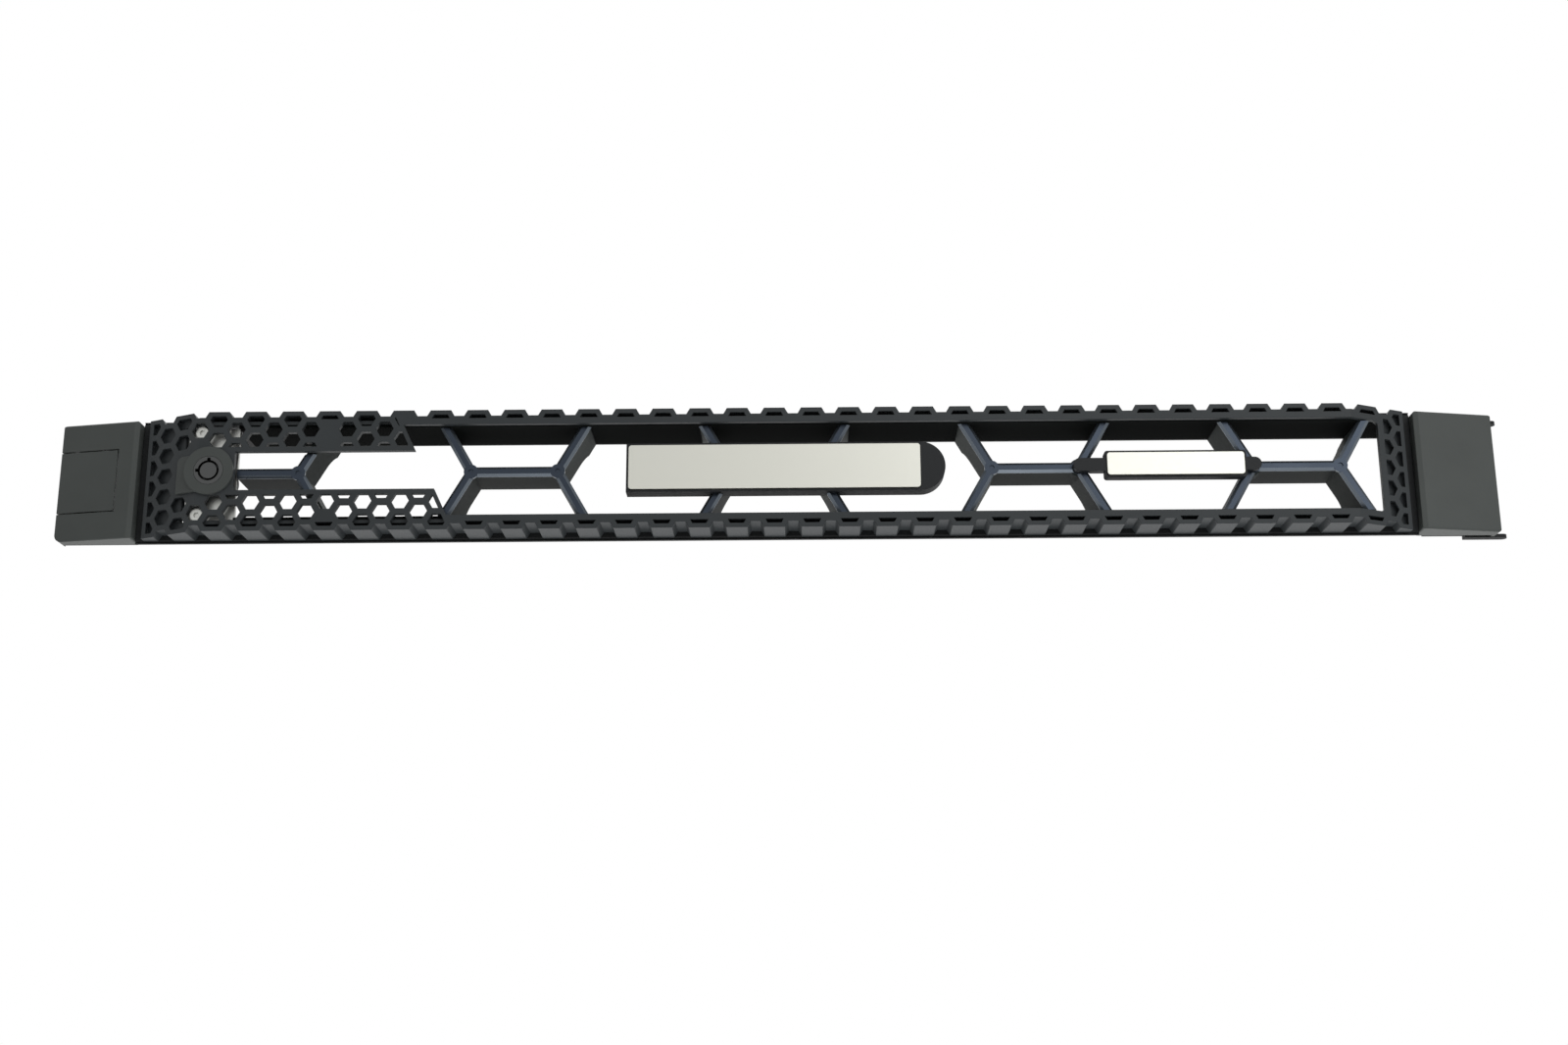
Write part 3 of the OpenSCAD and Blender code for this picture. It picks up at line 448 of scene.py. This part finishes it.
class BEZEL_OT_mouldings(bpy.types.Operator):
    """Finishes the moulded plastic parts"""

    bl_idname = "bezel.mouldings"
    bl_label = "Moulded parts"

    def execute(self, context):
        finish = context.scene.bezel_finishes
        mesh = moulded_plastic("satin_moulded_abs_mesh", finish.fascia, 0.45, 0.5, 0.012)
        dress(mesh, "mesh_fascia")
        rear = moulded_plastic("matt_moulded_abs_frame", finish.frame, 0.6, 0.5, 0.012)
        dress(rear, "rear_frame", "hinge_bracket")
        # Shade is painted on the ribs at the height of the grille's rails, which turn near black
        # there.
        ribs = moulded_plastic(
            "satin_moulded_abs_ribs", finish.ribs, 0.55, 0.5, 0.01, specular=0.06, painted_rail_shade=True
        )
        dress(ribs, "rib_grille")
        caps = moulded_plastic("satin_moulded_abs_caps", finish.caps, 0.42, 0.4, 0.01, 0.5)
        dress(caps, "left_end_cap", "right_end_cap")
        button = moulded_plastic("satin_moulded_abs_button", finish.caps, 0.4, 0.4, 0.01)
        dress(button, "release_lever", "lock_escutcheon")
        black = linear(CARRIER_BLACK)
        carriers = moulded_plastic("matt_moulded_abs_carriers", black, 0.5, 0.5, 0.01)
        dress(carriers, "badge_carrier", "small_badge_carrier")
        return {"FINISHED"}


class BEZEL_OT_metalwork(bpy.types.Operator):
    """Finishes the trims, badge plates, lock, pins and screws"""

    bl_idname = "bezel.metalwork"
    bl_label = "Metal parts"

    def execute(self, context):
        finish = context.scene.bezel_finishes
        trims = [name for name in NODES if name.startswith("rib_trim")]
        dress(gloss_trim("metallised_gloss_foil_trim", finish.trim, finish.trim_edge_highlight), *trims)
        plates = worked_metal("anodised_aluminium_plate", finish.badge, 0.35, 0.3)
        dress(plates, "badge_plate", "small_badge_plate")
        zinc = worked_metal("zinc_plated_steel", linear(ZINC_GREY), 0.35, 0.4)
        dress(zinc, "left_cap_screws", "right_cap_screws", "bracket_screws", "cam_screw")
        dress(zinc, "lock_nut", "lock_bracket", "lock_cam")
        spring = worked_metal("ground_spring_steel", linear(SPRING_GREY), 0.25, 0.3)
        dress(spring, "pivot_pin", "return_spring")
        lock = worked_metal("black_plated_zinc", linear(LOCK_GREY), 0.4, 0.3)
        dress(lock, "lock_barrel", "lock_plug")
        return {"FINISHED"}


class BEZEL_OT_stage(bpy.types.Operator):
    """Sets the camera, the soft lamps, the white surround and the pale floor"""

    bl_idname = "bezel.stage"
    bl_label = "Stage"

    def execute(self, context):
        stage = context.scene.bezel_stage
        self.camera(context, stage)
        middle = (CAD_BOX[0] + CAD_BOX[1]) / 2
        key, fill = middle + KEY_PLACE, middle + FILL_PLACE
        self.lamp(context, "key_softbox", key, middle, KEY_WIDTH, stage.key_power)
        self.lamp(context, "low_fill_softbox", fill, middle, FILL_WIDTH, stage.fill_power)
        self.surround(context, stage)
        self.floor(context, stage)
        context.scene.view_settings.view_transform = "Standard"
        return {"FINISHED"}

    def camera(self, context, stage):
        """Pan turns about Z, tilt about the camera's side axis, roll about its line of view."""
        data = bpy.data.cameras.new("view")
        data.lens = stage.lens
        data.sensor_width = 36
        data.clip_start, data.clip_end = 0.01, 20
        camera = bpy.data.objects.new("view", data)
        context.scene.collection.objects.link(camera)
        camera.matrix_world = (
            Matrix.Translation(stage.stand)
            @ Matrix.Rotation(stage.pan, 4, "Z")
            @ Matrix.Rotation(math.radians(90) + stage.tilt, 4, "X")
            @ Matrix.Rotation(stage.roll, 4, "Z")
        )
        context.scene.camera = camera

    def lamp(self, context, name, place, aim, size, power):
        """A square softbox that faces the point it is aimed at."""
        data = bpy.data.lights.new(name, "AREA")
        data.shape = "SQUARE"
        data.size = size
        data.energy = power
        lamp = bpy.data.objects.new(name, data)
        context.scene.collection.objects.link(lamp)
        lamp.location = place
        lamp.rotation_euler = (aim - place).to_track_quat("-Z", "Y").to_euler()

    def surround(self, context, stage):
        """White to the eye and in reflections, and a softer light on everything else."""
        world = bpy.data.worlds.new("white_surround")
        world.use_nodes = True
        tree = world.node_tree
        tree.nodes.clear()
        path = add(tree, "ShaderNodeLightPath").outputs
        seen = path["Is Camera Ray"]
        for ray in ("Is Glossy Ray", "Is Transmission Ray"):
            both = add(tree, "ShaderNodeMath", {0: seen, 1: path[ray]}, operation="MAXIMUM")
            seen = both.outputs["Value"]
        level = add(
            tree, "ShaderNodeMapRange", {"Value": seen, "To Min": stage.surround, "To Max": 1.0}
        )
        light = add(
            tree,
            "ShaderNodeBackground",
            {"Color": (1.0, 1.0, 1.0, 1.0), "Strength": level.outputs["Result"]},
        )
        output = add(tree, "ShaderNodeOutputWorld")
        tree.links.new(light.outputs["Background"], output.inputs["Surface"])
        context.scene.world = world

    def floor(self, context, stage):
        """A flat square that the bezel stands on."""
        mesh = bpy.data.meshes.new("floor")
        sides = np.array([[-1, -1, 0], [1, -1, 0], [1, 1, 0], [-1, 1, 0]])
        corners = sides * FLOOR_REACH + [0, 0, CAD_BOX[0].z]
        mesh.from_pydata(corners.tolist(), [], [(0, 1, 2, 3)])
        floor = bpy.data.objects.new("floor", mesh)
        context.scene.collection.objects.link(floor)
        mesh.materials.append(pale_floor(stage.floor))


class BEZEL_PT_panel(bpy.types.Panel):
    """Lists the bezel's operators"""

    bl_idname = "BEZEL_PT_panel"
    bl_label = "Server front bezel"
    bl_space_type = "VIEW_3D"
    bl_region_type = "UI"
    bl_category = "Bezel"

    def draw(self, context):
        for step in STEPS:
            self.layout.operator(step.bl_idname)


STEPS = (BEZEL_OT_mouldings, BEZEL_OT_metalwork, BEZEL_OT_stage)
CLASSES = (BezelFinishes, BezelStage, *STEPS, BEZEL_PT_panel)


def register():
    for cls in CLASSES:
        bpy.utils.register_class(cls)
    bpy.types.Scene.bezel_finishes = PointerProperty(type=BezelFinishes)
    bpy.types.Scene.bezel_stage = PointerProperty(type=BezelStage)


def unregister():
    del bpy.types.Scene.bezel_stage
    del bpy.types.Scene.bezel_finishes
    for cls in reversed(CLASSES):
        bpy.utils.unregister_class(cls)


def main():
    """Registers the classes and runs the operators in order."""
    register()
    for step in STEPS:
        group, name = step.bl_idname.split(".")
        getattr(getattr(bpy.ops, group), name)()


if __name__ == "__main__":
    main()
